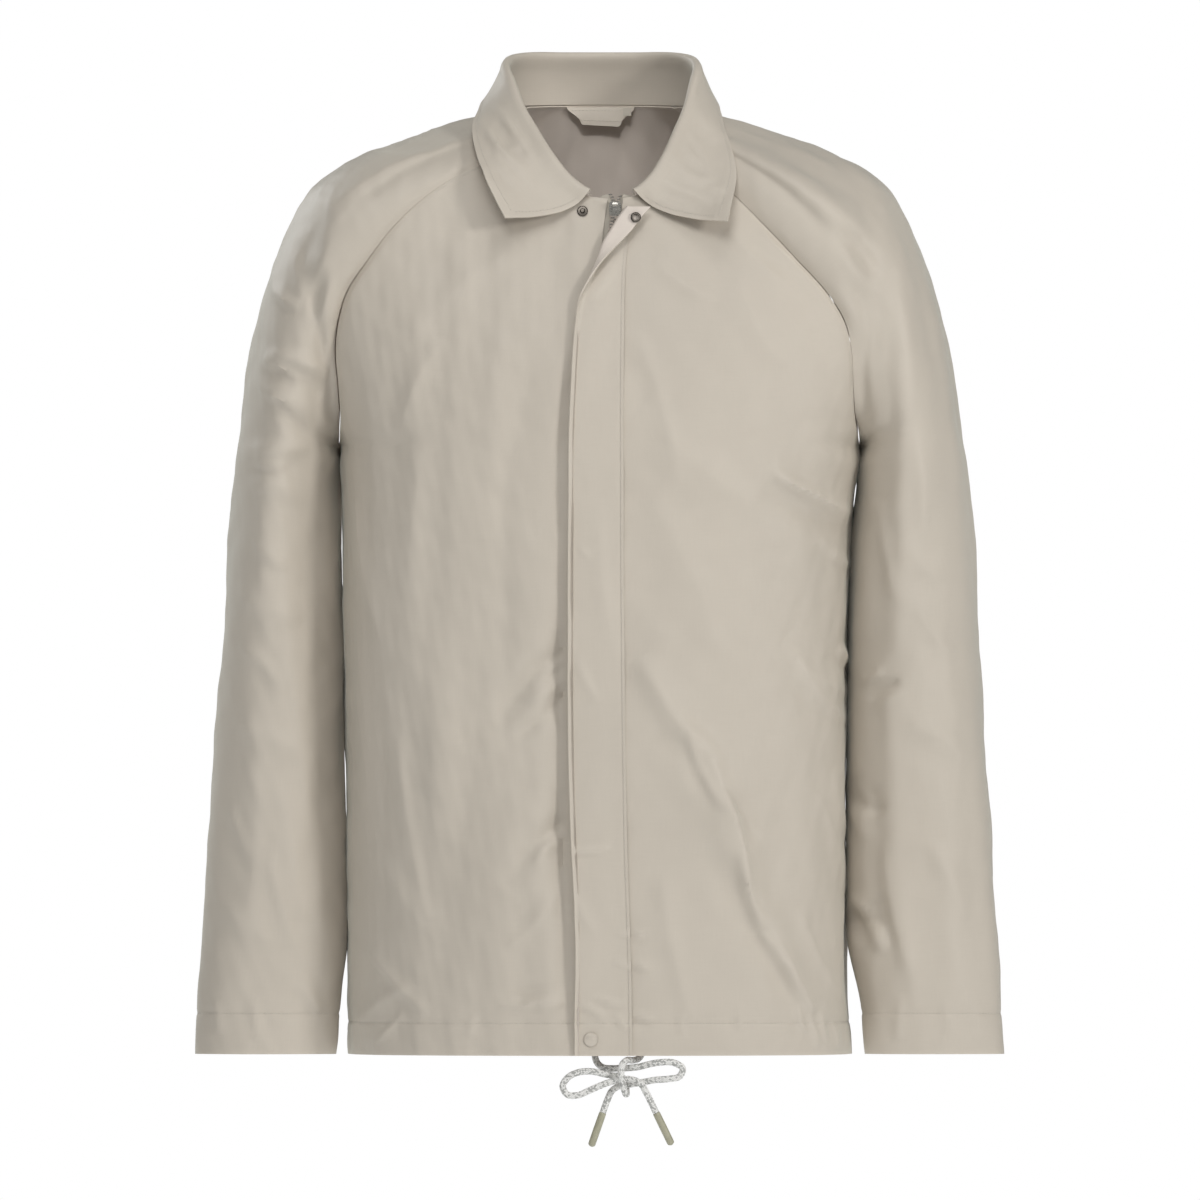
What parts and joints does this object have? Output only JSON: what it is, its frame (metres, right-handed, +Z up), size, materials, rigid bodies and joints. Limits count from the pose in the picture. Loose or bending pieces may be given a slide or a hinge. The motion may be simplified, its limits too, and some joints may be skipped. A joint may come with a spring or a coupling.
{
  "type": "coach jacket",
  "caption": "Plain raglan coach jacket with turned-down collar, fly placket over a zip, snaps and a hem drawcord tied in a bow, filled out and hollow.",
  "frame": {"origin": "middle of the neck opening at the height of the back neck seam, where the wearer's neck and shoulders hold the jacket up", "axes": "+Z up, the front faces -Y, +X to the wearer's left"},
  "size_m": [0.616, 0.2885, 0.8305],
  "materials": {
    "cloth": "smooth plain-weave nylon, soft sheen",
    "tape": "woven zip tape",
    "nickel": "bright nickel",
    "dark_nickel": "dark antique nickel",
    "snap_cap": "tonal lacquer",
    "cord": "marled braided cord",
    "cord_tip": "dipped, matte"
  },
  "bodies": {
    "jacket": {"front_right": "cloth", "front_left": "cloth", "back": "cloth", "sleeve_right": "cloth", "sleeve_left": "cloth", "collar": "cloth", "fly_placket": "cloth", "hanger_loop": "cloth", "size_tab_plain": "cloth", "zip_tape_right": "tape", "zip_tape_left": "tape", "zip_teeth": "nickel", "zip_slider": "nickel", "snap_stud_top": "dark_nickel", "snap_socket_top": "dark_nickel", "snap_cap_hem": "snap_cap", "cord_right": "cord", "cord_left": "cord", "cord_tip_right": "cord_tip", "cord_tip_left": "cord_tip"},
    "zip_pull": {"zip_pull": "nickel"}
  },
  "joints": [
    {"name": "pull_swing", "type": "hinge", "parent": "jacket", "child": "zip_pull", "pos_m": [0.01138, -0.10486, -0.0772], "axis": [-1, 0, 0], "range_deg": [0, 150]}
  ]
}
